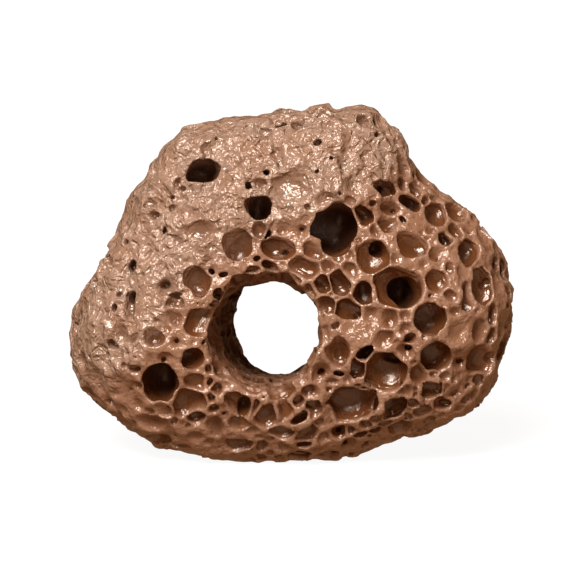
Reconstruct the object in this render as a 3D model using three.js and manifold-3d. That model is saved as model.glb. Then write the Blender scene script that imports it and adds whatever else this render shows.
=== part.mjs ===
// Lava rock: one hand-sized lump of bubbly basalt with a round tunnel right through it.
// Millimetres, +Z up. +X runs along the length and the front faces -Y. The origin is under the middle
// of the bounding box, on the flat that the rock stands on.

import * as THREE from 'three';
import * as BufferGeometryUtils from 'three/addons/utils/BufferGeometryUtils.js';
import Module from 'manifold-3d';

// Driving dimensions
const heart = { x: 0, z: 50 };        // the point that the outline goes round
const roundness = 2.7;                // 2 is an ellipse in depth, more is boxier
const frontDepth = 37;                // from the middle plane to the front, low down
const backDepth = 35;
const topTaper = 9;                   // how much thinner each side is at the top
const taperFrom = 30;                 // heights between which the rock thins
const taperTo = 120;
const leanBack = 0.05;                // the middle plane leans back this much for each mm up
const faceTilt = THREE.MathUtils.degToRad(11);   // the front is measured from this far above level

const tunnel = { x: -4.9, z: 43.9, yaw: 5.6, pitch: -7.4, throat: 17.8, mouth: 19.2, halfLength: 50 };

const rockDetail = 8;                 // icosahedron subdivisions of the lump
const vesicleDetail = 2;
const bigVesicle = 14.5;              // from this width on, a vesicle gets one more subdivision

// The outline seen from the front, (x, z), anticlockwise from the right. The part of it that is below
// z = 0 is cut away by the flat.
const outline = [
  [76, 53], [69, 74], [55, 88], [43, 98], [38, 108], [25, 118.5], [3, 118.5], [-18, 116], [-39, 109],
  [-50, 95], [-58, 80], [-66, 63], [-73, 50], [-75, 36], [-68, 18], [-50, 5], [-32, -2], [-10, -5],
  [10, -3.5], [30, 2], [50, 8], [67, 17], [74, 35],
];

// Broad swellings of the front and the back: middle (x, z), reach, and how far they stand out.
const frontSwellings = [[48, 58, 26, 5], [-48, 40, 24, 2], [-20, 90, 24, -2], [20, 84, 20, 2]];
const backSwellings = [[-40, 55, 28, 4], [45, 45, 24, -3], [5, 85, 22, 3]];

// The large vesicles of the front: (across, up) measured square on to the tilted front, width, height,
// and depth. A depth well over half the width makes a cave, a small one makes a dish.
const frontVesicles = [
  [-30, 100, 10.5, 9.5, 11], [-10.5, 87.5, 9, 10, 9], [0, 96, 12.5, 11.5, 5], [15, 81.5, 15, 15, 13],
  [26, 85.5, 8, 6, 7], [41.5, 90.5, 7.5, 6.5, 8], [50.5, 86.5, 7.5, 9, 7], [29, 72, 11.5, 11, 7],
  [43, 76, 9.5, 8.5, 6], [62, 73.5, 7, 12, 7], [67.5, 61.5, 9, 12, 8], [50.5, 62.5, 7.5, 7, 6],
  [38, 60, 15, 14.5, 9], [39.5, 58.5, 9.5, 10.5, 19], [26, 58.5, 6, 8, 6], [17, 61.5, 8, 7, 6],
  [-4.5, 74, 12, 8.5, 7], [-18.5, 75, 9, 10.5, 6], [-31.5, 78.5, 12, 7, 4], [-33, 62, 8.5, 9.5, 5],
  [-42.5, 60.5, 7.5, 7.5, 5], [-32, 48.5, 8.5, 10, 6], [-56, 54, 5, 9.5, 5], [-59, 45, 6, 9.5, 4],
  [-47.5, 42.5, 7, 5.5, 4], [-44.5, 27.5, 12, 14.5, 10], [-34, 35, 7.5, 7, 7], [-35, 19.5, 11.5, 11, 8],
  [-18.5, 19, 7.5, 8.5, 8], [-8.5, 16, 8.5, 9, 7], [5, 9.5, 7, 7, 6], [20.5, 19.5, 15, 13, 12],
  [33, 30.5, 13, 14, 10], [34.5, 18.5, 9.5, 10.5, 9], [16, 37, 8, 8.5, 5], [48.5, 49, 10.5, 10, 10],
  [50.5, 36.5, 10.5, 10, 9], [66, 34.5, 12, 13.5, 9], [58.5, 46, 9.5, 8.5, 5], [32.5, 49.5, 7.5, 7, 5],
  [48.5, 24.5, 8, 6, 6], [53.5, 20, 7.5, 6, 5], [24, 97, 7, 7.5, 4], [-7.5, 114, 6, 4, 5],
];

// The vesicles of the sides, the top and the back are spread evenly and their sizes repeat.
const otherVesicles = 58;             // places tried all round, of which the front ones are left out
const otherWidths = [12, 7.5, 9, 6.5, 11, 8, 13, 7];
const otherDepthShare = 0.8;          // depth of such a vesicle over its width
const goldenAngle = Math.PI * (3 - Math.sqrt(5));

const wasm = await Module();
wasm.setup();

// The outline's radius from the heart at any angle, read off a smooth curve through its points.
const outlinePoints = outline.map(([x, z]) => new THREE.Vector3(x, 0, z));
const outlineCurve = new THREE.CatmullRomCurve3(outlinePoints, true, 'catmullrom', 0.5);
const outlinePolar = outlineCurve.getPoints(460)
  .map((point) => {
    const across = point.x - heart.x;
    const up = point.z - heart.z;
    return { angle: Math.atan2(up, across), radius: Math.hypot(across, up) };
  })
  .sort((one, other) => one.angle - other.angle);

function outlineRadius(angle) {
  const next = outlinePolar.findIndex((entry) => entry.angle > angle);
  const last = outlinePolar.length - 1;
  if (next <= 0) return outlinePolar[next === 0 ? 0 : last].radius;
  const low = outlinePolar[next - 1];
  const high = outlinePolar[next];
  const share = (angle - low.angle) / (high.angle - low.angle);
  return THREE.MathUtils.lerp(low.radius, high.radius, share);
}

function swell(swellings, x, z) {
  return swellings.reduce((sum, [middleX, middleZ, reach, height]) => {
    const away = ((x - middleX) ** 2 + (z - middleZ) ** 2) / reach ** 2;
    return sum + height * Math.exp(-away);
  }, 0);
}

// Distance from the middle plane to the front or the back surface, at the thickest of each height.
function halfDepth(x, z, isFront) {
  const taper = topTaper * THREE.MathUtils.smoothstep(z, taperFrom, taperTo);
  if (isFront) return frontDepth - taper + swell(frontSwellings, x, z);
  return backDepth - taper + swell(backSwellings, x, z);
}

function middlePlane(z) {
  return (z - heart.z) * leanBack;
}

// The point of the lump's surface in a direction, a superellipse between the outline and the depth.
function lumpPoint(direction) {
  const angle = Math.atan2(direction.z, direction.x);
  const across = Math.hypot(direction.x, direction.z) ** (2 / roundness) * outlineRadius(angle);
  const x = heart.x + across * Math.cos(angle);
  const z = heart.z + across * Math.sin(angle);
  const deep = Math.abs(direction.y) ** (2 / roundness) * halfDepth(x, z, direction.y < 0);
  return new THREE.Vector3(x, middlePlane(z) + Math.sign(direction.y) * deep, z);
}

function insideLump(point) {
  const across = point.x - heart.x;
  const up = point.z - heart.z;
  const away = point.y - middlePlane(point.z);
  const spread = Math.hypot(across, up) / outlineRadius(Math.atan2(up, across));
  const deep = Math.abs(away) / halfDepth(point.x, point.z, away < 0);
  return spread ** roundness + deep ** roundness < 1;
}

// A closed three.js geometry as a solid, and back.
function solidOf(geometry) {
  const bare = geometry.clone();
  bare.deleteAttribute('normal');
  bare.deleteAttribute('uv');
  const merged = BufferGeometryUtils.mergeVertices(bare, 1e-4);
  return new wasm.Manifold(new wasm.Mesh({
    numProp: 3,
    vertProperties: new Float32Array(merged.attributes.position.array),
    triVerts: new Uint32Array(merged.index.array),
  }));
}

function geometryOf(solid) {
  const mesh = solid.getMesh();
  const geometry = new THREE.BufferGeometry();
  geometry.setAttribute('position', new THREE.BufferAttribute(new Float32Array(mesh.vertProperties), 3));
  geometry.setIndex(new THREE.BufferAttribute(new Uint32Array(mesh.triVerts), 1));
  geometry.computeVertexNormals();
  return geometry;
}

function makeLump() {
  const geometry = new THREE.IcosahedronGeometry(1, rockDetail);
  const position = geometry.attributes.position;
  const direction = new THREE.Vector3();
  for (let i = 0; i < position.count; i += 1) {
    direction.fromBufferAttribute(position, i);
    const point = lumpPoint(direction);
    position.setXYZ(i, point.x, point.y, point.z);
  }
  return solidOf(geometry);
}

// The tunnel is narrowest in the middle and flares to both mouths.
function makeTunnel() {
  const { throat, mouth, halfLength } = tunnel;
  const profile = [new THREE.Vector2(0, -halfLength)];
  for (const share of [-1, -0.6, -0.4, -0.2, 0, 0.2, 0.4, 0.6, 1]) {
    const radius = throat + (mouth - throat) * Math.min(1, Math.abs(share / 0.6) ** 3);
    profile.push(new THREE.Vector2(radius, share * halfLength));
  }
  profile.push(new THREE.Vector2(0, halfLength));
  const geometry = new THREE.LatheGeometry(profile, 32);
  geometry.rotateX(THREE.MathUtils.degToRad(tunnel.pitch));
  geometry.rotateZ(-THREE.MathUtils.degToRad(tunnel.yaw));
  geometry.translate(tunnel.x, 0, tunnel.z);
  return solidOf(geometry);
}

function makeVesicle(middle, size, turn) {
  const detail = size.x < bigVesicle ? vesicleDetail - 1 : vesicleDetail;
  const geometry = new THREE.IcosahedronGeometry(0.5, detail);
  geometry.scale(size.x, size.y, size.z);
  geometry.applyQuaternion(turn);
  geometry.translate(middle.x, middle.y, middle.z);
  return solidOf(geometry);
}

// Goes in square to the tilted front until it meets the lump.
function makeFrontVesicle([across, up, width, height, depth]) {
  const inward = new THREE.Vector3(0, Math.cos(faceTilt), -Math.sin(faceTilt));
  const upward = new THREE.Vector3(0, Math.sin(faceTilt), Math.cos(faceTilt));
  const start = new THREE.Vector3(across, 0, 0).addScaledVector(upward, up - 4);
  const far = 70;
  const step = 0.5;
  let along = -far;
  const point = start.clone().addScaledVector(inward, along);
  while (!insideLump(point) && along < far) {
    along += step;
    point.copy(start).addScaledVector(inward, along);
  }
  if (along >= far) return null;
  const sink = depth > width * 0.9 ? depth / 2 - width * 0.25 : 0;
  point.addScaledVector(inward, sink);
  const turn = new THREE.Quaternion().setFromAxisAngle(new THREE.Vector3(1, 0, 0), -faceTilt);
  return makeVesicle(point, new THREE.Vector3(width, depth, height), turn);
}

// A spiral of evenly spread places, without the front, the tunnel's mouth and the flat.
function makeOtherVesicles() {
  const vesicles = [];
  const outward = new THREE.Vector3(0, 1, 0);
  for (let i = 0; i < otherVesicles; i += 1) {
    const y = 1 - (2 * (i + 0.5)) / otherVesicles;
    const ring = Math.sqrt(1 - y * y);
    const direction = new THREE.Vector3(ring * Math.cos(i * goldenAngle), y, ring * Math.sin(i * goldenAngle));
    const middle = lumpPoint(direction);
    const width = otherWidths[i % otherWidths.length];
    const nearTunnel = Math.hypot(middle.x - tunnel.x, middle.z - tunnel.z) < tunnel.mouth + width / 2 + 1;
    const onFront = y < -0.15;
    const nearFlat = middle.z < 12;
    if (!onFront && !nearTunnel && !nearFlat) {
      const turn = new THREE.Quaternion().setFromUnitVectors(outward, direction);
      const size = new THREE.Vector3(width, width * otherDepthShare, width * (0.85 + 0.1 * (i % 4)));
      vesicles.push(makeVesicle(middle, size, turn));
    }
  }
  return vesicles;
}

// Everything below the flat that the rock stands on.
function makeUnderside() {
  const side = 400;
  const geometry = new THREE.BoxGeometry(side, side, side);
  geometry.translate(0, 0, -side / 2);
  return solidOf(geometry);
}

const front = frontVesicles.map(makeFrontVesicle).filter((vesicle) => vesicle !== null);
const cutters = [makeUnderside(), makeTunnel(), ...front, ...makeOtherVesicles()];
const rockSolid = cutters.reduce((solid, cutter) => solid.subtract(cutter), makeLump());

// The origin goes to the bottom centre of the bounding box.
const rockGeometry = geometryOf(rockSolid);
rockGeometry.computeBoundingBox();
const middleOfBox = rockGeometry.boundingBox.getCenter(new THREE.Vector3());
rockGeometry.translate(-middleOfBox.x, -middleOfBox.y, -rockGeometry.boundingBox.min.z);

const basalt = new THREE.MeshStandardMaterial({ color: 0x8f6244, roughness: 0.32, metalness: 0 });
const rock = new THREE.Mesh(rockGeometry, basalt);
rock.name = 'lava_rock';

const object = new THREE.Group();
object.add(rock);

export default object;
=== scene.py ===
import math

import bpy
import numpy as np
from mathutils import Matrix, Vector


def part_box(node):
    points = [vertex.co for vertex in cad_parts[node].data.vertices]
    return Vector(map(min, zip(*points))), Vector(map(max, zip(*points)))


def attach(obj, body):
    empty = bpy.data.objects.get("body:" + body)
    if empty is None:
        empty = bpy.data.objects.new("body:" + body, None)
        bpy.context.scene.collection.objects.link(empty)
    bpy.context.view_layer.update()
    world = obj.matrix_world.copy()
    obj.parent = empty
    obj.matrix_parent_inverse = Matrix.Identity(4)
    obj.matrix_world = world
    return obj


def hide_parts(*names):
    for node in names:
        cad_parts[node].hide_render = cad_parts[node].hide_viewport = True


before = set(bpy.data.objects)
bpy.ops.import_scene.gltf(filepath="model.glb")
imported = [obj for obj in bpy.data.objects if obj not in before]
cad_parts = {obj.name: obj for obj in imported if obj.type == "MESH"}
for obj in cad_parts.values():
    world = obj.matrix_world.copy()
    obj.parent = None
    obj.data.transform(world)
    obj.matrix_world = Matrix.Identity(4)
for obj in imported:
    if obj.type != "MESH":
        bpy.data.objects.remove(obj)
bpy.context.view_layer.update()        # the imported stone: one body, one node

# Lava rock: a glazed brown lump of bubbly basalt with a round tunnel through it.
# The stone is a block of distances in millimetres, less than nought inside and more outside. The
# bubbles are taken out of it, and a mesh is drawn round the noughts and written in metres.

mm = 0.001
goldenAngle = math.pi * (3 - math.sqrt(5))
rng = np.random.default_rng(7)

grid = {
    "cell": 0.45,   # mm between samples
    "coarse": 1.5,                         # mm between samples of the smooth fields
    "margin": 3.0,                         # air round the stone
    "faces": 197000,                       # triangles of the finished stone
}

lump = {
    "heart": (0.0, 50.0),        # x, z that the outline goes round
    "roundness": 2.7,            # 2 is an ellipse in depth, more is boxier
    "frontDepth": 37.0,
    "backDepth": 35.0,
    "topTaper": 9.0,             # how much thinner each side is at the top
    "taperFrom": 30.0,
    "taperTo": 120.0,
    "leanBack": 0.05,            # backwards lean of the middle plane, per mm up
    "outline": [(76, 53), (69, 74), (55, 88), (43, 98), (38, 108), (25, 118.5), (3, 118.5), (-18, 116),
                (-39, 109), (-50, 95), (-58, 80), (-66, 63), (-73, 50), (-75, 36), (-68, 18), (-50, 5),
                (-32, -2), (-10, -5), (10, -3.5), (30, 2), (50, 8), (67, 17), (74, 35)],
    "frontSwellings": [(48, 58, 26, 5), (-48, 40, 24, 2), (-20, 90, 24, -2), (20, 84, 20, 2)],
    "backSwellings": [(-40, 55, 28, 4), (45, 45, 24, -3), (5, 85, 22, 3)],
}


def smoothStep(t):
    # from 0 to 1 with level ends
    t = np.clip(t, 0, 1)
    return t * t * (3 - 2 * t)


def softMin(a, b, reach):
    # the lesser of two distances, rounded off where they are within reach of each other
    h = np.clip(0.5 + 0.5 * (b - a) / reach, 0, 1)
    return b + (a - b) * h - reach * h * (1 - h)


def softMax(a, b, reach):
    return -softMin(-a, -b, reach)


def closedCurve(points, steps=20):
    # a Catmull-Rom curve through the points and back to the first
    p = np.array(points, float)
    a, b, c, d = (np.roll(p, k, axis=0)[:, None] for k in (1, 0, -1, -2))
    t = (np.arange(steps) / steps)[None, :, None]
    curve = 0.5 * (2 * b + (c - a) * t + (2 * a - 5 * b + 4 * c - d) * t ** 2
                   + (3 * b - a - 3 * c + d) * t ** 3)
    return curve.reshape(-1, 2)


outlineCurve = closedCurve(lump["outline"]) - np.array(lump["heart"])
outlineAngles = np.arctan2(outlineCurve[:, 1], outlineCurve[:, 0])
outlineRadii = np.hypot(outlineCurve[:, 0], outlineCurve[:, 1])


def outlineRadius(angle):
    return np.interp(angle, outlineAngles, outlineRadii, period=2 * math.pi)


def swell(swellings, x, z):
    # round bumps: each falls off as a bell from its middle
    return sum(height * np.exp(-((x - mx) ** 2 + (z - mz) ** 2) / reach ** 2)
               for mx, mz, reach, height in swellings)


def halfDepth(x, z, isFront):
    risen = (z - lump["taperFrom"]) / (lump["taperTo"] - lump["taperFrom"])
    taper = lump["topTaper"] * smoothStep(risen)
    front = lump["frontDepth"] - taper + swell(lump["frontSwellings"], x, z)
    back = lump["backDepth"] - taper + swell(lump["backSwellings"], x, z)
    return np.where(isFront, front, back)


def lumpSpread(x, y, z):
    # under 1 inside the lump: the outline's share and the depth's share of a superellipse
    across, up = x - lump["heart"][0], z - lump["heart"][1]
    away = y - up * lump["leanBack"]
    share = np.hypot(across, up) / outlineRadius(np.arctan2(up, across))
    deep = np.abs(away) / halfDepth(x, z, away < 0)
    return (share ** lump["roundness"] + deep ** lump["roundness"]) ** (1 / lump["roundness"])


def lumpPoint(direction):
    # the point of the lump's surface in each direction
    angle = np.arctan2(direction[:, 2], direction[:, 0])
    share = np.hypot(direction[:, 0], direction[:, 2]) ** (2 / lump["roundness"]) * outlineRadius(angle)
    x = lump["heart"][0] + share * np.cos(angle)
    z = lump["heart"][1] + share * np.sin(angle)
    deep = np.abs(direction[:, 1]) ** (2 / lump["roundness"]) * halfDepth(x, z, direction[:, 1] < 0)
    y = (z - lump["heart"][1]) * lump["leanBack"] + np.sign(direction[:, 1]) * deep
    return np.stack([x, y, z], 1)


def spiral(count):
    # directions spread evenly over a ball, from front to back
    i = np.arange(count)
    y = 1 - 2 * (i + 0.5) / count
    ring = np.sqrt(1 - y * y)
    return np.stack([ring * np.cos(i * goldenAngle), y, ring * np.sin(i * goldenAngle)], 1)


# The lump's own frame against the imported model's: the middles of the two boxes are laid on each other
# across and in depth, but not in height.
hull = lumpPoint(spiral(20000))
hull = hull[hull[:, 2] >= 0]
node = np.array(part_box("lava_rock")) / mm
shift = (node[0] + node[1]) / 2 - (hull.min(0) + hull.max(0)) / 2
shift[2] = 0

cell = grid["cell"]
low = node[0] - shift - grid["margin"]
high = node[1] - shift + grid["margin"]
axes = [np.arange(low[k], high[k], cell).astype(np.float32) for k in range(3)]
gridStart = np.array([a[0] for a in axes], float)
print("grid", [len(a) for a in axes])


def splineWeights(places, count):
    # the weight of each coarse sample at each fine place: the cubic B-spline
    i = np.floor(places).astype(int)
    f = places - i
    weights = np.zeros((len(places), count), np.float32)
    parts = ((1 - f) ** 3 / 6, (3 * f ** 3 - 6 * f ** 2 + 4) / 6,
             (-3 * f ** 3 + 3 * f ** 2 + 3 * f + 1) / 6, f ** 3 / 6)
    for k, part in enumerate(parts):
        np.add.at(weights, (np.arange(len(places)), np.clip(i + k - 1, 0, count - 1)), part)
    return weights


def spread(coarse, places):
    # a coarse block of samples made fine, one axis after another
    out = coarse.astype(np.float32)
    for axis in range(3):
        weights = splineWeights(places[axis], coarse.shape[axis])
        out = np.moveaxis(np.tensordot(weights, out, axes=(1, axis)), 0, axis)
    return np.ascontiguousarray(out)


def noiseField(size, seed, stretch=(1, 1, 1)):
    # smooth noise of about unit height, with lumps of the given size in mm
    steps = [cell / (size * stretch[k]) for k in range(3)]
    counts = [int(len(axes[k]) * steps[k]) + 5 for k in range(3)]
    coarse = np.random.default_rng(seed).standard_normal(counts)
    return spread(coarse, [np.arange(len(axes[k])) * steps[k] + 1.5 for k in range(3)]) * 1.9


tunnel = {
    "x": -4.9, "z": 43.9,        # where the axis crosses the middle plane
    "yaw": 5.6, "pitch": -7.4,   # degrees
    "throat": 17.8,              # radius inside
    "mouth": 19.2,               # radius at both ends
    "flareLength": 30.0,         # from the middle to where the mouth has its full radius
    "flarePower": 3.0,           # more keeps the bore straight for longer
    "lip": 1.6,                  # rounding between the bore and the outside
    "ridges": [(7.0, 2.2, 0.8), (3.0, 4.0, 0.65)],   # length, how much longer round the bore, height
}

# Where the skin is whole and where it has burst into foam: above this line (x, z) the front is skin.
skin = {
    "line": [(-76, 22), (-60, 30), (-45, 48), (-27, 70), (-5, 84), (22, 91), (42, 103), (60, 125)],
    "edge": 12.0,                # mm over which one turns into the other
    "backShare": 0.45,           # how much less whole it is at the back
    "lumps": [(11.0, 0.75), (4.4, 0.85)],        # size and height of rounded lumps
    "creases": [(3.8, 0.75), (2.1, 0.28)],     # size and height of sharp-edged folds
}


def tunnelFrame(points):
    # along the tunnel's axis, and the two ways across it
    yaw, pitch = math.radians(tunnel["yaw"]), math.radians(tunnel["pitch"])
    level = np.array([math.sin(yaw), math.cos(yaw), 0.0])
    along = level * math.cos(pitch) + np.array([0.0, 0.0, math.sin(pitch)])
    side = np.array([math.cos(yaw), -math.sin(yaw), 0.0])
    over = np.cross(side, along)
    rel = [p - c for p, c in zip(points, (tunnel["x"], 0.0, tunnel["z"]))]
    return [rel[0] * v[0] + rel[1] * v[1] + rel[2] * v[2] for v in (along, side, over)]


def makeSmoothFields():
    # what changes slowly is worked out coarsely and made fine
    step = grid["coarse"]
    coarseAxes = [np.arange(a[0] - 3 * step, a[-1] + 4 * step, step) for a in axes]
    x, y, z = np.meshgrid(*coarseAxes, indexing="ij")
    places = [(a - c[0]) / step for a, c in zip(axes, coarseAxes)]
    # distance to the plain lump: the superellipse less one, over its slope
    q = lumpSpread(x, y, z) - 1
    slope = np.sqrt(sum(g * g for g in np.gradient(q, step)))
    body = q / np.maximum(slope, 0.004)
    # distance to the bore, whose radius grows towards both ends
    along, side, over = tunnelFrame((x, y, z))
    share = np.minimum(1, np.abs(along) / tunnel["flareLength"]) ** tunnel["flarePower"]
    radius = np.hypot(side, over)
    bore = radius - (tunnel["throat"] + (tunnel["mouth"] - tunnel["throat"]) * share)
    # 1 where the skin is whole, 0 where all is foam
    line = np.interp(x, *np.array(skin["line"], float).T)
    whole = smoothStep((z - line) / skin["edge"] + 0.5)
    whole = whole * (1 - skin["backShare"] * smoothStep((y - 5) / 15))
    inTunnel = smoothStep((tunnel["throat"] + 5 - radius) / 3) * smoothStep((35 - np.abs(along)) / 6)
    names = ("body", "bore", "whole", "inTunnel")
    return {name: spread(field, places) for name, field in zip(names, (body, bore, whole, inTunnel))}


def sample(field, points, start=gridStart, step=cell):
    # the field between its samples, straight lines each way
    t = [(points[:, k] - start[k]) / step for k in range(3)]
    i = [np.clip(np.floor(t[k]).astype(int), 0, field.shape[k] - 2) for k in range(3)]
    f = [np.clip(t[k] - i[k], 0, 1) for k in range(3)]
    out = 0
    for a in (0, 1):
        for b in (0, 1):
            for c in (0, 1):
                weight = 1
                for share, ahead in zip(f, (a, b, c)):
                    weight = weight * (share if ahead else 1 - share)
                out = out + weight * field[i[0] + a, i[1] + b, i[2] + c]
    return out


def outwardAt(field, points, step):
    # the way that the field rises fastest
    rise = []
    for k in range(3):
        nudge = np.zeros(3)
        nudge[k] = step
        rise.append(sample(field, points + nudge) - sample(field, points - nudge))
    g = np.stack(rise, 1)
    return g / np.maximum(np.linalg.norm(g, axis=1, keepdims=True), 1e-9)


eye = {"tilt": 11.0, "distance": 1200.0, "lift": 4.2}   # where the front's vesicles are measured from

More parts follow.
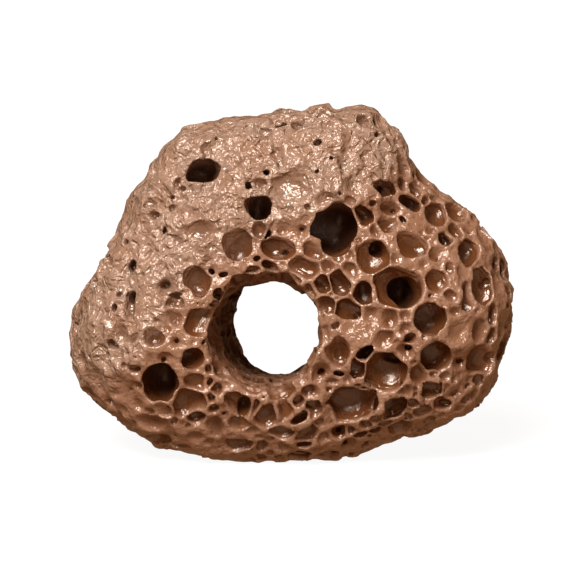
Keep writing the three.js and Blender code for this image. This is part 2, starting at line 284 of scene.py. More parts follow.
# Vesicles of the front: across, up, width, height, depth, roll in degrees.
frontVesicles = [
    # brow, left
    (-30, 100, 10.7, 9.7, 13, 15), (-23, 104, 5, 6, 1.5, 20), (-17, 101.5, 5, 3.5, 1.2, 0),
    (-7.5, 100, 3.5, 4, 5, 0), (-4, 101.5, 5.5, 5, 1.5, 0), (-10.5, 87, 9, 10, 11, 0),
    (-13, 94, 3, 5, 4, 25), (-9.5, 96, 4, 3.5, 1, 0), (0, 96, 12.5, 12, 2.5, 0),
    (-20.5, 113, 4.5, 3.5, 2, 0), (-15, 113.5, 4.5, 3, 1.5, 0), (-15, 116, 2, 1.5, 2, 0),
    (-7.5, 114, 6, 4, 3, 10), (-2.5, 117, 4, 3, 5, 0), (3, 117, 4.5, 3, 2.5, 0),
    (9, 109.5, 2.5, 2.5, 4, 0), (14, 116, 7, 3, 1.5, 0), (24.5, 118, 4.5, 5, 4, 0),
    (21, 118, 2, 1.5, 1.5, 0), (21, 113.5, 1.5, 1.5, 1.5, 0), (30, 113, 3, 2, 3, 0),
    (34, 112, 3, 3, 1.5, 0), (37, 109.5, 2, 3, 2, 0), (13, 103, 3.5, 2, 2.5, 40),
    (9.5, 99.5, 3, 1.5, 1.5, 40), (23.5, 96, 7, 7.5, 1.8, 0), (29.5, 99, 2, 2, 1.5, 0),
    (30, 92, 2, 1.5, 1.5, 0), (43, 99.5, 3, 2.5, 3, 0), (47.5, 94, 3, 2, 1.5, 0),
    (-37.5, 111.5, 2, 2, 1.2, 0), (-34, 112.5, 1.2, 1.2, 1, 0), (-39.5, 105, 1.5, 1.5, 1.2, 0),
    (-35, 106, 1.8, 1.8, 1.5, 0), (-33, 106, 1.4, 1.4, 1.2, 0), (-25, 111, 1.5, 1.8, 2, 0),
    (-49, 94, 1.8, 1.8, 1.2, 0), (-40.5, 92, 1.8, 1.8, 2, 0), (-37, 95, 5, 2, 1, 0),
    (-29, 93, 1.2, 4, 1.5, 20),
    # right shoulder
    (15, 81.5, 16, 16.5, 20, 0), (16, 75, 9.5, 8, 9, 0), (26, 85.5, 8.3, 6, 7, -20),
    (41.5, 90.5, 7.6, 6.5, 10, 0), (50.5, 86.5, 7.5, 9.3, 7, 0), (35, 82, 7.5, 5, 4, 25),
    (39.5, 84, 2.8, 2.8, 5, 0), (28.5, 71.5, 11.4, 11, 5, 0), (30.5, 74, 5.2, 5.5, 10, 0),
    (42.5, 76, 9.6, 8.3, 5, 0), (53.5, 77.5, 4.5, 6, 7, 0), (51.5, 72, 7.6, 6.5, 3, 0),
    (51.5, 69.5, 1.8, 1.8, 4, 0), (42, 68, 3.4, 3.4, 2, 0), (46, 68.5, 3.1, 3.1, 2, 0),
    (62, 73.5, 7, 11.7, 7, -25), (67, 61.5, 9, 11.7, 6, 0), (61.5, 58.5, 6, 8.6, 4.5, -10),
    (70, 51.5, 4, 8, 4, 0), (50.5, 62.5, 7.5, 7, 4.5, 0), (45, 60.5, 3.4, 2.8, 2, 0),
    (55.5, 58, 5.5, 4, 2.5, -30), (37.5, 60.5, 17, 14.5, 7, 0), (39.5, 58.5, 9.7, 10.7, 20, 0),
    (26, 58.5, 6, 8, 6, -20), (17, 61.5, 8, 7, 5, -20), (10.5, 61, 6, 6, 5, 0),
    (12.5, 67.5, 6, 5, 2.5, 0), (21, 66, 6, 5.5, 2.5, 0), (4, 67, 10.5, 7, 4, 0),
    (-0.5, 63, 6, 3, 3, -20), (6, 57.5, 5, 7.5, 3, 20), (12, 53, 7, 6, 4, 0),
    (19.5, 52.5, 9, 7, 5, 0), (21.5, 50.5, 3.8, 4.5, 7, 0), (15, 46, 2.4, 2.4, 2, 0),
    (32.5, 49.5, 7.6, 7, 3, 0), (39, 50.5, 3.4, 2.4, 2, 0), (48.5, 49, 10.7, 10, 9, 15),
    (57.5, 52.5, 5, 3, 2, 0), (58.5, 46, 9.7, 8.3, 2.5, 0), (65.5, 46, 5.5, 8.6, 4, -10),
    (69.5, 44, 3.4, 5.5, 4.5, -15), (72.5, 39, 2, 3, 2, 0),
    # right foot
    (50.5, 36.5, 10.7, 10, 9, -20), (66, 34.5, 12, 13.5, 5, 0), (65, 38.5, 2.8, 2.8, 3.5, 0),
    (69, 35, 4, 5, 5, -30), (62.5, 35.5, 3, 3, 3, 0), (69.5, 28.5, 3.8, 3, 3.5, 0),
    (61.5, 25.5, 2.1, 1.7, 3, 0), (48.5, 24.5, 8, 6, 5, 10), (53.5, 29, 4, 2.8, 2, 20),
    (57, 28.5, 2.8, 2, 1.8, 0), (56.5, 23.5, 5, 2.8, 3, 20), (53.5, 20, 7.6, 6, 3, 0),
    (53.5, 20, 5, 3.5, 5, 0), (60.5, 21, 5, 3, 3, 30), (58, 18.5, 3.4, 2.8, 2.5, 0),
    (61, 16, 5, 2, 2.5, 20), (45, 17, 7, 5, 2.5, 10), (34.5, 18.5, 9.3, 10.3, 6, 0),
    (35, 20, 4, 4, 7, 0), (33, 30.5, 13, 14, 6, 0), (35, 34, 6.5, 5, 9, -20),
    (26, 37.5, 7, 3.5, 6, 35), (23, 32.5, 7, 6, 4, 0), (15.5, 37.5, 8.3, 8.3, 3, 0),
    (16, 31, 4, 2, 4, -10), (13, 28, 5.5, 3, 2, 0), (26, 26, 4, 3, 3, 0),
    (20.5, 19.5, 17, 13, 8, 10), (13.5, 17, 4, 6, 8, 0), (21, 23, 10, 4, 9, 10),
    (20.5, 10, 3.4, 3.4, 3, 0), (24, 9, 6, 2, 4, 10), (30, 10.5, 5, 2, 4, 15),
    # toe, under the tunnel
    (7, 18, 5.5, 8.3, 4, 0), (3, 15.5, 6, 4, 6, 20), (-3, 17.5, 6, 8, 3, 0),
    (-3, 10.5, 8, 6, 4, 0), (5, 9.5, 7, 7, 3.5, 0), (5, 6, 3.8, 2.8, 4, 0),
    (-1.5, 4.5, 4.5, 4.5, 2.5, 0), (11, 8, 3.8, 3.8, 3, 0), (-25, 24, 4, 4.8, 3, 0),
    (-27, 17, 3, 3, 3, 0), (-27.5, 21, 3, 4.5, 3, 0), (-18.5, 19, 7.6, 8.3, 4, 0),
    (-17, 18.5, 3.8, 6.5, 8, -20), (-26, 10.5, 6, 8.6, 3.5, 0), (-33.5, 8, 7.6, 4.8, 3, 10),
    (-30.5, 4, 3, 2, 2, 0), (-18, 12.5, 7, 5.5, 3.5, 0), (-13, 18.5, 2.8, 7, 2.5, 0),
    (-8.5, 16, 8.6, 9, 4.5, 0), (-10.5, 23, 3, 1.7, 2, 0), (-18, 5, 10, 5, 4, 0),
    (-38.5, 5.5, 8, 3, 4, 0),
    # left cheek
    (-54.5, 67, 3, 4.2, 5, 0), (-44, 78, 1.7, 3.5, 3, 0), (-54.5, 79, 1.2, 1.7, 2, 0),
    (-55, 72, 1.4, 1.4, 2, 0), (-58.5, 76, 1.2, 1.7, 1.5, 0), (-52, 77, 2.5, 1.1, 1, 10),
    (-50.5, 74.5, 2.4, 1.1, 1, -10), (-47, 74.5, 2.4, 1.1, 1, 0), (-50.5, 72, 2.6, 1.1, 1, 10),
    (-31.5, 78.5, 12, 7, 2, 20), (-37.5, 74.5, 5, 3.5, 1.5, 20), (-33, 62, 8.6, 9.3, 3.5, 0),
    (-32.5, 59.5, 1.7, 1.7, 3.5, 0), (-28, 65.5, 2.4, 2.4, 4, 0), (-43, 61.5, 3.4, 3, 4, 0),
    (-42.5, 60, 7.6, 7.6, 2, 0), (-39.5, 55, 5.5, 6.5, 2.5, 0), (-39.5, 57.5, 4, 2.4, 4, 0),
    (-33, 55, 2, 1.7, 2.5, 0), (-56, 54, 4.8, 9.6, 3.5, 0), (-55.5, 57, 4, 4.5, 6, 0),
    (-55.5, 51, 1.4, 2, 3, 0), (-60, 57.5, 3, 2.8, 2, 0), (-61, 53, 2.4, 2.8, 2, 0),
    (-55, 60, 2, 1.1, 1, 0), (-57, 63.5, 5, 2, 1, 10), (-31.5, 48.5, 8.6, 10, 5, 0),
    (-46, 48, 1.4, 1.4, 2, 0), (-59, 45, 6, 9.3, 2.5, 0), (-61.5, 41, 4.5, 3.4, 3.5, 0),
    (-54.5, 43, 3.4, 3.8, 2, 0), (-47, 42.5, 7, 5.5, 3, 0), (-43, 45, 4, 3.4, 2, 0),
    (-50.5, 38, 2.4, 3.8, 2.5, 0), (-53, 34, 4.5, 4, 2.5, 0), (-57, 35, 2.8, 2, 2, 0),
    (-44.5, 27, 11.7, 14.5, 16, 10), (-41.5, 23.5, 3, 3.8, 10, 0), (-34, 35, 7.5, 7, 6, 0),
    (-32.5, 27, 7.6, 5, 4, 0), (-28, 31, 3, 3, 4, 0), (-28, 27, 3, 3, 4, 0),
    (-35, 19.5, 11.4, 11, 5, 0), (-31.5, 14, 4.8, 4, 5, 0), (-34, 12, 2, 2, 3, 0),
    (-40, 15, 2.8, 2.8, 2.5, 0), (-53, 26, 4.8, 4.5, 3, 0), (-67, 24.5, 2.8, 2.4, 2, 0),
    (-61.5, 24, 4.8, 2.8, 2, 0), (-59, 29, 2.8, 1.7, 1.5, 0), (-53.5, 19.5, 7.6, 5.5, 3, 0),
    (-48.5, 17.5, 4.5, 3, 2, 0), (-49.5, 14, 15, 6, 2, 0), (-45, 10, 4.5, 1.7, 2, 0),
    (-42, 12, 3.4, 2.4, 2, 0),
    # round the tunnel
    (-18.5, 75, 9, 10.3, 4.5, 0), (-11, 79.5, 5, 5.5, 2.5, 0), (-8.5, 78.5, 4.2, 2, 4, 45),
    (-2, 80.5, 6, 4, 2.5, 0), (-4.5, 74, 12, 8.6, 5, -10), (-2, 73, 2.8, 2.8, 8, 0),
    (-12.5, 70.5, 2, 2, 3, 0), (-8, 67.5, 6, 3, 6, -30), (-20, 68.5, 4, 3, 2.5, 0),
    (-14, 66.5, 5, 2.8, 2, 0), (-23.5, 64.5, 5, 2.8, 4, 20), (-25.5, 57.5, 4.5, 4.5, 6, 0),
    (-27.5, 54.5, 5, 3, 2.5, 20),
]

# Vesicles of the sides, the top and the back: spread evenly, with sizes that repeat.
otherVesicles = {"places": 58, "widths": (12, 7.5, 9, 6.5, 11, 8, 13, 7), "depthShare": 0.6}

bubbles = {
    "wall": 0.9,                 # left between two bubbles that meet
    "wallChange": (5.0, 0.55),   # size and height of its changes: under nought the bubbles join
    "sag": (1.6, 0.7),           # this near to two bubbles, a wall's top sinks by this much
    "grow": 0.12,                # share by which the vesicles are widened in the foam, to meet
    "deepen": 0.05,              # share by which they are deepened there
    "caveDepth": 9.0,            # from this depth on a vesicle keeps its own size
    "sunk": 0.35,                # how far a cave's middle lies under its mouth, over its radius
    "warps": [(8.0, 0.95), (3.2, 0.42)],       # size and height of the waves that bend them all
    "innerShare": 0.8,           # a vesicle this near to the middle of a larger one opens into it
    "join": 0.25,                # rounding where two bubbles join
    "rim": 0.55,                 # rounding where a bubble meets the skin
    "footEdge": 0.2,             # rounding round the flat
}

# Small bubbles. Each class: radius, tries, and the least share of the radii's sum between middles.
foam = {
    "classes": [(4.4, 900, 0.80), (3.5, 1600, 0.78), (2.7, 3000, 0.80),
                (2.0, 5000, 0.84), (1.4, 9000, 0.88), (1.0, 9000, 0.96)],
    "sizes": (0.8, 1.2),         # least and greatest radius over the class's own
    "widths": (0.88, 1.18),      # least and greatest width over twice the radius
    "depths": (0.40, 1.0),       # least and greatest depth over the radius
    "sideways": 0.4,             # share by which they are deeper where the stone faces sideways
    "skinShare": 0.03,           # share of tries kept where the skin is whole
    "tunnelLoss": 0.3,           # share of tries lost in the tunnel
    "innerShare": 0.4,           # share of the larger ones with a hole in the bottom
    "innerFrom": 1.7,            # radius from which one may have it
    "innerSizes": (0.2, 0.36),   # least and greatest radius of the hole over the bubble's
    "innerDepth": 3.2,           # its depth over its radius
    "pinholes": [(0.8, 500, 3.0), (0.6, 500, 3.0)],
}


def block(middle, reach):
    # the part of the grid within reach of a point
    parts = []
    for k in range(3):
        a = int((middle[k] - reach - gridStart[k]) / cell)
        b = int((middle[k] + reach - gridStart[k]) / cell) + 2
        parts.append(slice(max(a, 0), max(min(b, len(axes[k])), 0)))
    return tuple(parts)


def ballField(bubble, part, warp):
    # distance to an ellipsoid in warped space, to first order: the ratio less one, over its slope
    x = axes[0][part[0]][:, None, None] + warp[0][part] - np.float32(bubble["middle"][0])
    y = axes[1][part[1]][None, :, None] + warp[1][part] - np.float32(bubble["middle"][1])
    z = axes[2][part[2]][None, None, :] + warp[2][part] - np.float32(bubble["middle"][2])
    ratio = 0
    slope = 0
    for way, half in zip(bubble["ways"].astype(np.float32), bubble["halves"]):
        share = (x * way[0] + y * way[1] + z * way[2]) / np.float32(half)
        ratio = ratio + share ** 2
        slope = slope + (share / np.float32(half)) ** 2
    ratio = np.sqrt(ratio)
    return ratio * (ratio - 1) / np.maximum(np.sqrt(slope), 1e-6)


def carve(air, bubble, warp):
    # joins the bubble to the air
    part = block(bubble["middle"], max(bubble["halves"]) + 2.5)
    if min(s.stop - s.start for s in part) > 0:
        air[part] = softMin(air[part], ballField(bubble, part, warp), bubbles["join"])


def carveCell(nearest, second, bubble, warp):
    # keeps the distances to the nearest bubble and to the one after it
    part = block(bubble["middle"], max(bubble["halves"]) + 2.5)
    if min(s.stop - s.start for s in part) > 0:
        away = ballField(bubble, part, warp)
        second[part] = np.minimum(second[part], np.maximum(nearest[part], away))
        nearest[part] = np.minimum(nearest[part], away)


def waysAround(normal, roll=0.0):
    # across, up and along the normal, turned by the roll
    upWay = np.array([0, 0, 1.0]) if abs(normal[2]) < 0.95 else np.array([0, 1.0, 0])
    across = np.cross(normal, upWay)
    across /= np.linalg.norm(across)
    up = np.cross(across, normal)
    c, s = math.cos(roll), math.sin(roll)
    return np.array([across * c + up * s, up * c - across * s, normal])


def cup(place, outward, width, height, depth, roll=0.0):
    # a bubble cut by the surface: the mouth has the width and height, and the bottom the depth below it
    half = (width + height) / 4
    if depth < half:                       # a shallow cap of a large ball
        ball = (half ** 2 + depth ** 2) / (2 * depth)
        middle = place + outward * (ball - depth)
        halves = (ball * width / (2 * half), ball * height / (2 * half), ball)
    else:                                  # a cave, wider inside than at the mouth
        ball = depth / (1 + bubbles["sunk"])
        middle = place - outward * (ball * bubbles["sunk"])
        wider = 1 / math.sqrt(1 - bubbles["sunk"] ** 2)
        halves = (width / 2 * wider, height / 2 * wider, ball)
    return {"middle": middle, "halves": halves, "ways": waysAround(outward, roll),
            "mouth": place, "reach": half, "outward": outward, "depth": depth}


def makeFrontBubbles(fields):
    # each vesicle is met by a line from the eye, and opens half towards it
    tilt = math.radians(eye["tilt"])
    back = np.array([0, math.cos(tilt), -math.sin(tilt)])
    up = np.array([0, math.sin(tilt), math.cos(tilt)])
    middle = np.array([0, 0, lump["heart"][1]])
    viewer = middle - back * eye["distance"]
    apart, inner = [], []
    for across, high, width, height, depth, roll in frontVesicles:
        target = np.array([across, 0, 0]) + up * (high - eye["lift"] - middle @ up) + middle
        way = (target - viewer) / np.linalg.norm(target - viewer)
        steps = eye["distance"] + np.arange(-80, 60, 0.25)
        points = viewer + steps[:, None] * way
        hits = np.nonzero(lumpSpread(*points.T) < 1)[0]
        if len(hits) == 0:
            continue
        place = points[hits[0]]
        outward = outwardAt(fields["body"], place[None], cell)[0] - way
        outward /= np.linalg.norm(outward)
        larger = [v for v in frontVesicles if v[2] * v[3] > 1.5 * width * height]
        nearness = [(across - a) ** 2 / (w / 2) ** 2 + (high - h) ** 2 / (t / 2) ** 2
                    for a, h, w, t, d, r in larger]
        isInner = any(share < bubbles["innerShare"] for share in nearness)
        burst = 1 - float(sample(fields["whole"], place[None])[0])
        if isInner or depth > bubbles["caveDepth"]:
            burst = 0
        wider = 1 + bubbles["grow"] * burst
        deeper = 1 + bubbles["deepen"] * burst
        made = cup(place, outward, width * wider, height * wider, depth * deeper, -math.radians(roll))
        (inner if isInner else apart).append(made)
    return apart, inner


def makeOtherBubbles(fields):
    made = []
    ways = spiral(otherVesicles["places"])
    for i, (way, place) in enumerate(zip(ways, lumpPoint(ways))):
        width = otherVesicles["widths"][i % len(otherVesicles["widths"])]
        fromTunnel = math.hypot(place[0] - tunnel["x"], place[2] - tunnel["z"])
        nearTunnel = fromTunnel < tunnel["mouth"] + width / 2 + 1
        if way[1] >= -0.15 and not nearTunnel and place[2] >= 12:
            outward = outwardAt(fields["body"], place[None], cell)[0]
            tall = width * (0.85 + 0.1 * (i % 4))
            made.append(cup(place, outward, width, tall, width * otherVesicles["depthShare"], i * 1.3))
    return made


def foamShare(fields, points):
    # the share of tries that stay: all in the foam, few in the whole skin and in the tunnel
    burst = 1 - (1 - foam["skinShare"]) * sample(fields["whole"], points)
    return burst * (1 - foam["tunnelLoss"] * sample(fields["inTunnel"], points))


def makeFoam(fields, surface, classes, placed, share):
    # bubbles thrown at the surface, largest first, kept where they have room
    near = np.argwhere(np.abs(surface) < 0.6)
    known = np.array([b["mouth"] for b in placed]).reshape(-1, 3)
    knownReach = np.array([b["reach"] for b in placed])
    made = []
    for radius, tries, apart in classes:
        chosen = near[rng.integers(0, len(near), tries)]
        points = gridStart + cell * (chosen + rng.uniform(-0.5, 0.5, (tries, 3)))
        size = radius * rng.uniform(*foam["sizes"], tries)
        keep = rng.random(tries) < share(points)
        for start in range(0, tries, 500):
            part = slice(start, start + 500)
            away = np.linalg.norm(points[part, None] - known[None], axis=2)
            keep[part] &= (away > (size[part, None] + knownReach[None]) * apart).all(axis=1)
        points, size = points[keep], size[keep]
        outward = outwardAt(surface, points, 1.0)
        own = []
        for i in range(len(points)):
            away = np.linalg.norm(points[own] - points[i], axis=1)
            if (away > (size[own] + size[i]) * apart).all():
                own.append(i)
        known = np.concatenate([known, points[own]])
        knownReach = np.concatenate([knownReach, size[own]])
        for i in own:
            wide, tall = 2 * size[i] * rng.uniform(*foam["widths"], 2)
            sideways = 1 + foam["sideways"] * (1 - abs(outward[i, 1]))
            depth = size[i] * rng.uniform(*foam["depths"]) * sideways
            made.append(cup(points[i], outward[i], wide, tall, depth, rng.uniform(0, math.pi)))
    return made


def makeInnerHoles(cups):
    # some cups have a small hole in the bottom, off the middle
    made = []
    for b in cups:
        if b["reach"] > foam["innerFrom"] and rng.random() < foam["innerShare"]:
            angle = rng.uniform(0, 2 * math.pi)
            aside = b["ways"][0] * math.cos(angle) + b["ways"][1] * math.sin(angle)
            place = b["mouth"] - b["outward"] * b["depth"] * 0.85 + aside * b["reach"] * 0.35
            radius = b["reach"] * rng.uniform(*foam["innerSizes"])
            made.append(cup(place, b["outward"], 2 * radius, 2 * radius, radius * foam["innerDepth"]))
    return made


def makeStoneField(fields):
    shell = softMax(fields["body"], -fields["bore"], tunnel["lip"])
    for k, (size, height) in enumerate(skin["lumps"]):
        shell += height * noiseField(size, 11 + k)
    for k, (size, height) in enumerate(skin["creases"]):
        shell += height * (np.abs(noiseField(size, 13 + k)) - 0.6) * (0.5 + 0.7 * fields["whole"])
    for k, (size, longer, height) in enumerate(tunnel["ridges"]):
        shell += height * fields["inTunnel"] * noiseField(size, 17 + k, (longer, 1, longer))
    warp = []
    for k in range(3):
        waves = [height * noiseField(size, 21 + 3 * k + m)
                 for m, (size, height) in enumerate(bubbles["warps"])]
        warp.append(sum(waves))
    print("skin and warp done")
    apart, inner = makeFrontBubbles(fields)
    apart += makeOtherBubbles(fields)
    small = makeFoam(fields, shell, foam["classes"], apart, lambda p: foamShare(fields, p))
    nearest = np.full(shell.shape, 9.0, np.float32)
    second = nearest.copy()
    for bubble in apart + small:
        carveCell(nearest, second, bubble, warp)
    # a wall is left where a point is about as far from two bubbles
    changeSize, changeHeight = bubbles["wallChange"]
    wall = bubbles["wall"] + changeHeight * noiseField(changeSize, 31)
    air = softMax(nearest, 0.5 * (wall - (second - nearest)), bubbles["join"])
    sagReach, sagHeight = bubbles["sag"]
    shell += sagHeight * (1 - fields["inTunnel"]) * smoothStep(1 - second / sagReach)
    inner += makeInnerHoles(small)
    for bubble in inner:
        carve(air, bubble, warp)
    pinholes = makeFoam(fields, softMax(shell, -air, 0.3), foam["pinholes"], apart,
                        lambda p: (sample(shell, p) > -4) * (1 - sample(fields["inTunnel"], p)))
    for bubble in pinholes:
        carve(air, bubble, warp)
    print("bubbles", len(apart), "foam", len(small), "inner", len(inner), "pinholes", len(pinholes))
    solid = softMax(shell, -air, bubbles["rim"])
    # the flat that it stands on
    level = np.broadcast_to(-axes[2][None, None, :], solid.shape)
    solid = softMax(solid, level, bubbles["footEdge"]).astype(np.float32)
    for k in range(3):                     # nothing reaches the grid's own faces
        edge = [slice(None)] * 3
        for end in (0, -1):
            edge[k] = end
            solid[tuple(edge)] = np.maximum(solid[tuple(edge)], 1.0)
    return shell, solid


def untangled(field):
    # where stone meets stone only at the corners of a grid square, the lesser of the other two fills in
    corners = np.array([(0, 0), (1, 0), (1, 1), (0, 1)])
    while True:
        filled = 0
        for k in range(3):
            u, v = (k + 1) % 3, (k + 2) % 3
            inside = []
            for du, dv in corners:
                cut = [slice(None)] * 3
                cut[u] = slice(du, field.shape[u] - 1 + du)
                cut[v] = slice(dv, field.shape[v] - 1 + dv)
                inside.append(field[tuple(cut)] < 0)
            crossed = (inside[0] == inside[2]) & (inside[1] == inside[3]) & (inside[0] != inside[1])
            square = np.argwhere(crossed)
            places = np.repeat(square[:, None], 4, axis=1)
            places[:, :, u] += corners[:, 0]
            places[:, :, v] += corners[:, 1]
            values = field[places[..., 0], places[..., 1], places[..., 2]]
            least = np.where(values < 0, np.inf, values).argmin(1)
            a, b, c = places[np.arange(len(places)), least].T
            field[a, b, c] = -0.03
            filled += len(places)
        if filled == 0:
            return field


def surfaceNet(field):
    # one vertex in each cell that the surface crosses, one face round each crossed grid edge
    inside = field < 0
    size = inside.shape
    corners = [(a, b, c) for a in (0, 1) for b in (0, 1) for c in (0, 1)]
    counts = sum(inside[a:size[0] - 1 + a, b:size[1] - 1 + b, c:size[2] - 1 + c].astype(np.int8)
                 for a, b, c in corners)
    crossed = (counts > 0) & (counts < 8)
    ijk = np.argwhere(crossed)
    number = np.full(crossed.shape, -1, np.int32)
    number[crossed] = np.arange(len(ijk))
    # the vertex is the mean of the points where the cell's edges are crossed
    total = np.zeros((len(ijk), 3))
    hits = np.zeros(len(ijk))
    values = {c: field[ijk[:, 0] + c[0], ijk[:, 1] + c[1], ijk[:, 2] + c[2]] for c in corners}
    for a in corners:
        for k in range(3):
            if a[k] == 0:
                b = tuple(1 if m == k else a[m] for m in range(3))
                cross = (values[a] < 0) != (values[b] < 0)
                share = values[a][cross] / (values[a][cross] - values[b][cross])
                place = np.tile(np.array(a, float), (cross.sum(), 1))
                place[:, k] += share
                total[cross] += place
                hits[cross] += 1
    points = ijk + total / hits[:, None]
    faces = []
    for k in range(3):
        u, v = (k + 1) % 3, (k + 2) % 3
        first = inside[tuple(slice(0, -1) if m == k else slice(1, -1) for m in range(3))]
        second = inside[tuple(slice(1, None) if m == k else slice(1, -1) for m in range(3))]
        for change, goesOut in ((first & ~second, True), (~first & second, False)):
            edge = np.argwhere(change)
            edge[:, u] += 1
            edge[:, v] += 1
            around = []
            for du, dv in ((-1, -1), (0, -1), (0, 0), (-1, 0)):
                c = edge.copy()
                c[:, u] += du
                c[:, v] += dv
                around.append(number[c[:, 0], c[:, 1], c[:, 2]])
            quad = np.stack(around, 1)
            faces.append(quad if goesOut else quad[:, ::-1])
    return gridStart + cell * points, np.concatenate(faces)


def largestPiece(points, faces):
    # crumbs and sealed bubbles are left out: labels spread along edges until each piece has one
    label = np.arange(len(points))
    ends = np.concatenate([faces[:, [0, 1]], faces[:, [1, 2]], faces[:, [2, 3]], faces[:, [3, 0]]])
    while True:
        least = np.minimum(label[ends[:, 0]], label[ends[:, 1]])
        fresh = label.copy()
        np.minimum.at(fresh, ends[:, 0], least)
        np.minimum.at(fresh, ends[:, 1], least)
        np.minimum.at(fresh, label, fresh)
        fresh = fresh[fresh]
        if (fresh == label).all():
            break
        label = fresh
    names, counts = np.unique(label, return_counts=True)
    keep = label == names[counts.argmax()]
    number = np.cumsum(keep) - 1
    faces = number[faces[keep[faces[:, 0]]]]
    print("pieces", len(names), "kept", keep.sum(), "of", len(points))
    return points[keep], faces


def meshFrom(name, points, faces):
    mesh = bpy.data.meshes.new(name)
    mesh.vertices.add(len(points))
    mesh.vertices.foreach_set("co", points.astype(np.float32).ravel())
    mesh.loops.add(faces.size)
    mesh.loops.foreach_set("vertex_index", faces.astype(np.int32).ravel())
    mesh.polygons.add(len(faces))
    mesh.polygons.foreach_set("loop_start", np.arange(0, faces.size, faces.shape[1], dtype=np.int32))
    mesh.update(calc_edges=True)
    mesh.validate()
    return mesh


def thinned(thing, triangles):
    # fewer triangles where the surface is flat, and the modifier made real
    thin = thing.modifiers.new("thin", "DECIMATE")
    thin.ratio = min(1, triangles / (2 * len(thing.data.polygons)))
    thin.use_collapse_triangulate = True
    graph = bpy.context.evaluated_depsgraph_get()
    mesh = bpy.data.meshes.new_from_object(thing.evaluated_get(graph), depsgraph=graph)
    thing.modifiers.clear()
    thing.data = mesh


def halved(field):
    # the mean of every two samples each way
    trimmed = field[tuple(slice(0, s // 2 * 2) for s in field.shape)]
    return sum(trimmed[a::2, b::2, c::2] for a in (0, 1) for b in (0, 1) for c in (0, 1)) / 8


def boxBlur(field, n):
    # the mean over a cube of 2 n + 1 samples, twice over, which is nearly a round blur
    out = field.astype(np.float32)
    for axis in range(3):
        for _ in range(2):
            pad = [(n + 1, n) if k == axis else (0, 0) for k in range(3)]
            total = np.cumsum(np.pad(out, pad, mode="edge"), axis=axis, dtype=np.float64)
            size = out.shape[axis]
            ahead = np.take(total, np.arange(2 * n + 1, 2 * n + 1 + size), axis=axis)
            behind = np.take(total, np.arange(0, size), axis=axis)
            out = ((ahead - behind) / (2 * n + 1)).astype(np.float32)
    return out


def addAttributes(mesh, fields, shell, solid):
    # how much stone is close by and further round, the depth under the skin, and how whole the skin is
    points = np.empty(len(mesh.vertices) * 3, np.float32)
    mesh.vertices.foreach_get("co", points)
    points = points.reshape(-1, 3).astype(float)
    filled = halved(np.clip(0.5 - solid / cell, 0, 1))
    start = gridStart + cell / 2
    layers = {
        "rim": sample(boxBlur(filled, 1), points, start, 2 * cell),
        "shade": sample(boxBlur(filled, max(1, round(1.8 / cell))), points, start, 2 * cell),
        "depth": np.clip(-sample(shell, points), 0, 20),
        "skin": sample(fields["whole"], points),
        "tunnel": sample(fields["inTunnel"], points),
    }
    for name, values in layers.items():
        layer = mesh.attributes.new(name, "FLOAT", "POINT")
        layer.data.foreach_set("value", values.astype(np.float32))
    return points


def makeStone():
    fields = makeSmoothFields()
    shell, solid = makeStoneField(fields)
    print("stone field done")
    points, faces = largestPiece(*surfaceNet(untangled(solid)))
    rock = bpy.data.objects.new("glazed_stone", meshFrom("glazed_stone", points, faces))
    bpy.context.collection.objects.link(rock)
    thinned(rock, grid["faces"])
    points = addAttributes(rock.data, fields, shell, solid)
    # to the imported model's frame, in metres
    rock.data.vertices.foreach_set("co", ((points + shift) * mm).astype(np.float32).ravel())
    rock.data.update()
    rock.data.shade_smooth()
    print("stone faces", len(rock.data.polygons))
    return rock


stone = {
    "pale": (0.415, 0.262, 0.186),       # worn skin; on the rims partly a painted highlight
    "mid": (0.36, 0.200, 0.124),         # patches of the skin
    "froth": (0.31, 0.142, 0.076),     # between the bubbles where the skin has burst
    "ridgeWearAndHighlight": (0.40, 0.225, 0.145),     # tops of the walls there, partly worn and partly a painted highlight
    "inside": (0.150, 0.050, 0.016),   # cups: painted shade, darker and redder down in them
    # painted shade in the tunnel: its wall darker and redder than the outside
    "bore": (0.16, 0.052, 0.014),
    "deep": (0.040, 0.009, 0.001),     # painted shade at the bottoms of caves and in close hollows
    "glint": (1.0, 0.80, 0.66),        # tint of the shine
    "roughness": 0.22,
    "cupRoughness": 0.14,
    "boreRoughness": 0.5,              # added in the tunnel
    "caveRoughness": 0.35,             # added deep down in the caves
    "specular": 0.9,
    "coat": 0.4,                       # the glaze, over the stone's own shine
    "coatRoughness": 0.07,
    # relief: scale, and height in metres
    "facets": (250, 0.0015),
    "folds": (220, 0.0015),
    "grain": (560, 0.0007),
    "fineGrain": (1500, 0.00015),
    "rings": (3.4, 0.00008),           # radians for each mm of depth, and height
}


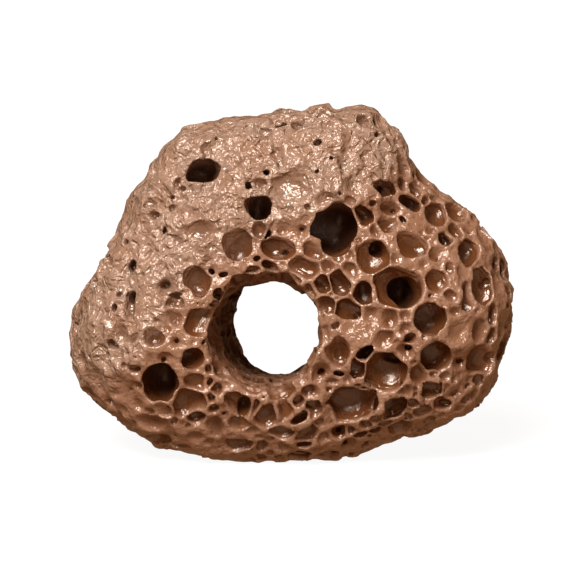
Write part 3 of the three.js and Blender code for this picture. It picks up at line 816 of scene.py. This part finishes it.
def makeBasalt():
    material = bpy.data.materials.new("basalt")
    material.use_nodes = True
    tree = material.node_tree
    nodes = tree.nodes
    shader = nodes["Principled BSDF"]
    where = nodes.new("ShaderNodeTexCoord").outputs["Object"]

    def put(value, socket):
        # a number, a colour or another node's output into a socket
        if isinstance(value, tuple):
            socket.default_value = (*value, 1) if len(socket.default_value) == 4 else value
        elif isinstance(value, (int, float)):
            socket.default_value = value
        else:
            tree.links.new(value, socket)

    def attribute(name):
        node = nodes.new("ShaderNodeAttribute")
        node.attribute_name = name
        return node.outputs["Fac"]

    def ramp(value, low, high, first=0.0, last=1.0):
        node = nodes.new("ShaderNodeMapRange")
        names = ("Value", "From Min", "From Max", "To Min", "To Max")
        for name, number in zip(names, (value, low, high, first, last)):
            put(number, node.inputs[name])
        node.clamp = True
        return node.outputs["Result"]

    def mix(share, a, b):
        node = nodes.new("ShaderNodeMix")
        node.data_type = "RGBA"
        put(share, node.inputs["Factor"])
        put(a, [s for s in node.inputs if s.name == "A" and s.type == "RGBA"][0])
        put(b, [s for s in node.inputs if s.name == "B" and s.type == "RGBA"][0])
        return [s for s in node.outputs if s.type == "RGBA"][0]

    def maths(operation, a, b=0.0, c=0.0):
        node = nodes.new("ShaderNodeMath")
        node.operation = operation
        for value, socket in zip((a, b, c), node.inputs):
            put(value, socket)
        return node.outputs[0]

    def noise(scale, detail, distortion=0.0, kind="FBM", place=None):
        node = nodes.new("ShaderNodeTexNoise")
        node.noise_type = kind
        node.normalize = kind == "FBM"
        put(where if place is None else place, node.inputs["Vector"])
        for name, value in (("Scale", scale), ("Detail", detail), ("Distortion", distortion)):
            put(value, node.inputs[name])
        return node.outputs["Fac"]

    def warped(scale, amount):
        # the place moved about by noise, so that a pattern on it has no straight lines
        node = nodes.new("ShaderNodeTexNoise")
        put(where, node.inputs["Vector"])
        put(scale, node.inputs["Scale"])
        add = nodes.new("ShaderNodeVectorMath")
        add.operation = "MULTIPLY_ADD"
        put(node.outputs["Color"], add.inputs[0])
        put((amount, amount, amount), add.inputs[1])
        put(where, add.inputs[2])
        return add.outputs[0]

    def cells(scale, place):
        node = nodes.new("ShaderNodeTexVoronoi")
        put(scale, node.inputs["Scale"])
        put(place, node.inputs["Vector"])
        return node.outputs["Distance"]

    def bumped(height, distance, strength, before=None):
        node = nodes.new("ShaderNodeBump")
        put(distance, node.inputs["Distance"])
        put(strength, node.inputs["Strength"])
        put(height, node.inputs["Height"])
        if before is not None:
            put(before, node.inputs["Normal"])
        return node.outputs["Normal"]

    rim, shade, depth, skinShare, bore = map(attribute, ("rim", "shade", "depth", "skin", "tunnel"))

    # colour: pale outside, and pale on the rims, partly wear and partly a painted highlight; redder and
    # darker down in the bubbles, which is painted shade
    colour = mix(ramp(noise(90, 3), 0.35, 0.7), stone["pale"], stone["mid"])
    colour = mix(ramp(skinShare, 0.0, 1.0, 0.75, 0.0), colour, stone["froth"])
    burst = ramp(skinShare, 0.0, 1.0, 1.0, 0.35)
    # painted shade in the cups: darker and redder with depth, less so where the skin is whole
    colour = mix(maths("MULTIPLY", ramp(depth, 0.6, 3.0), burst), colour, stone["inside"])
    # painted shade: darker where much stone is close round, as in hollows
    colour = mix(ramp(shade, 0.56, 0.86), colour, stone["deep"])
    # painted shade: near black deep down in the caves
    colour = mix(ramp(depth, 7.0, 13.0), colour, stone["deep"])
    # painted shade: the tunnel's wall darkened
    colour = mix(maths("MULTIPLY", bore, 0.9), colour, stone["bore"])
    # paler wall tops and rims: partly wear, partly a painted highlight; little of it in the tunnel
    ridgeWearAndHighlight = maths("MULTIPLY", ramp(rim, 0.46, 0.28, 0.0, 0.6), ramp(bore, 0.0, 1.0, 1.0, 0.2))
    colour = mix(ridgeWearAndHighlight, colour, mix(skinShare, stone["ridgeWearAndHighlight"], stone["pale"]))
    put(colour, shader.inputs["Base Color"])

    # finish: a wet-looking glaze over rumpled skin, smoother in the bubbles
    inCups = ramp(depth, 0.3, 1.6, stone["roughness"], stone["cupRoughness"])
    inCaves = ramp(depth, 4.0, 9.0, 0.0, stone["caveRoughness"])
    roughness = maths("ADD", maths("MULTIPLY_ADD", bore, stone["boreRoughness"], inCups), inCaves)
    put(roughness, shader.inputs["Roughness"])
    put(stone["specular"], shader.inputs["Specular IOR Level"])
    put(1.5, shader.inputs["IOR"])
    put(stone["glint"], shader.inputs["Specular Tint"])
    put(stone["coat"], shader.inputs["Coat Weight"])
    put(stone["coatRoughness"], shader.inputs["Coat Roughness"])
    put(1.5, shader.inputs["Coat IOR"])

    # folds of the skin, which fade in the froth and down in the bubbles
    facetScale, facetHeight = stone["facets"]
    foldScale, foldHeight = stone["folds"]
    folded = maths("MULTIPLY", ramp(skinShare, 0.0, 1.0, 0.35, 1.0), ramp(depth, 1.0, 3.5, 1.0, 0.15))
    relief = bumped(cells(facetScale, warped(190, 0.005)), facetHeight, folded)
    relief = bumped(noise(foldScale, 1, 1.8), foldHeight, folded, relief)
    # level lines down in the bubbles, as the froth left them
    turns, ringHeight = stone["rings"]
    rings = maths("SINE", maths("MULTIPLY_ADD", depth, turns, maths("MULTIPLY", noise(140, 2), 12.0)))
    ringed = maths("MULTIPLY", ramp(depth, 0.8, 2.0), ramp(depth, 6.0, 3.5, 0.0, 0.7))
    relief = bumped(rings, ringHeight, ringed, relief)
    # grain, coarse and fine
    grainScale, grainHeight = stone["grain"]
    fineScale, fineHeight = stone["fineGrain"]
    relief = bumped(noise(grainScale, 2, 0.8), grainHeight, ramp(depth, 0.5, 2.0, 0.75, 0.4), relief)
    relief = bumped(noise(fineScale, 2), fineHeight, ramp(depth, 0.5, 2.0, 0.5, 0.15), relief)
    put(relief, shader.inputs["Normal"])
    put(relief, shader.inputs["Coat Normal"])
    return material


rock = makeStone()
rock.data.materials.clear()
rock.data.materials.append(makeBasalt())
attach(rock, "root")
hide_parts("lava_rock")

studio = {
    "floorSize": 8.0,
    "floorGlow": 0.93,           # keeps the floor white where the stone's shadow falls
    "floorColour": 0.12,
    "key": {"azimuth": -30, "height": 52, "spread": 40, "strength": 3.0},
    "spark": {"azimuth": -22, "height": 48, "spread": 14, "strength": 1.1},
    "bounce": {"azimuth": 15, "height": -25, "spread": 80, "strength": 0.4},
    "bounceColour": (1.0, 0.78, 0.58),
    "fill": 0.23,                # light from all round
    "fillColour": (1.0, 0.54, 0.26),
    "aim": (-0.0013, 0.0, 0.0568),
    "viewWidth": 0.1985,         # metres across the picture at the stone
}


def makeFloor():
    # a white sheet, lit from below so that the shadow on it is faint; it sheds no light on the stone
    s = studio["floorSize"]
    sheet = np.array([(-s, -s, 0), (s, -s, 0), (s, s, 0), (-s, s, 0)])
    mesh = meshFrom("floor", sheet, np.array([(0, 1, 2, 3)]))
    floor = bpy.data.objects.new("floor", mesh)
    bpy.context.collection.objects.link(floor)
    floor.visible_diffuse = False
    floor.visible_glossy = False
    floor.visible_shadow = False
    material = bpy.data.materials.new("floor")
    material.use_nodes = True
    shader = material.node_tree.nodes["Principled BSDF"]
    shader.inputs["Base Color"].default_value = (*[studio["floorColour"]] * 3, 1)
    shader.inputs["Roughness"].default_value = 0.9
    shader.inputs["Specular IOR Level"].default_value = 0.0
    shader.inputs["Emission Color"].default_value = (1, 1, 1, 1)
    shader.inputs["Emission Strength"].default_value = studio["floorGlow"]
    mesh.materials.append(material)


def makeLight(name, azimuth, height, spread, strength, colour=(1, 1, 1)):
    # a far, soft light: azimuth turns it from the front towards the right, height is above level
    data = bpy.data.lights.new(name, "SUN")
    data.angle = math.radians(spread)
    data.energy = strength
    data.color = colour
    thing = bpy.data.objects.new(name, data)
    bpy.context.collection.objects.link(thing)
    thing.rotation_euler = (math.radians(90 - height), 0, math.radians(azimuth))


def makeCamera():
    data = bpy.data.cameras.new("camera")
    data.sensor_width = 36
    camera = bpy.data.objects.new("camera", data)
    bpy.context.collection.objects.link(camera)
    tilt = math.radians(eye["tilt"])
    far = eye["distance"] * mm
    camera.location = np.array(studio["aim"]) + far * np.array([0, -math.cos(tilt), math.sin(tilt)])
    camera.rotation_euler = (math.pi / 2 - tilt, 0, 0)
    data.lens = data.sensor_width * far / studio["viewWidth"]
    bpy.context.scene.camera = camera


def makeWorld():
    # dim light from all round, and a white backdrop for the camera
    world = bpy.data.worlds.new("studio")
    bpy.context.scene.world = world
    world.use_nodes = True
    tree = world.node_tree
    fill = tree.nodes["Background"]
    fill.inputs["Color"].default_value = (*studio["fillColour"], 1)
    fill.inputs["Strength"].default_value = studio["fill"]
    backdrop = tree.nodes.new("ShaderNodeBackground")
    seen = tree.nodes.new("ShaderNodeLightPath").outputs["Is Camera Ray"]
    either = tree.nodes.new("ShaderNodeMixShader")
    tree.links.new(seen, either.inputs["Fac"])
    tree.links.new(fill.outputs["Background"], either.inputs[1])
    tree.links.new(backdrop.outputs["Background"], either.inputs[2])
    backdrop.inputs["Color"].default_value = (1, 1, 1, 1)
    tree.links.new(either.outputs["Shader"], tree.nodes["World Output"].inputs["Surface"])


makeFloor()
makeLight("key", **studio["key"])
makeLight("spark", **studio["spark"])
makeLight("bounce", **studio["bounce"], colour=studio["bounceColour"])
makeCamera()
makeWorld()
bpy.context.scene.view_settings.view_transform = "Standard"
print("studio done")
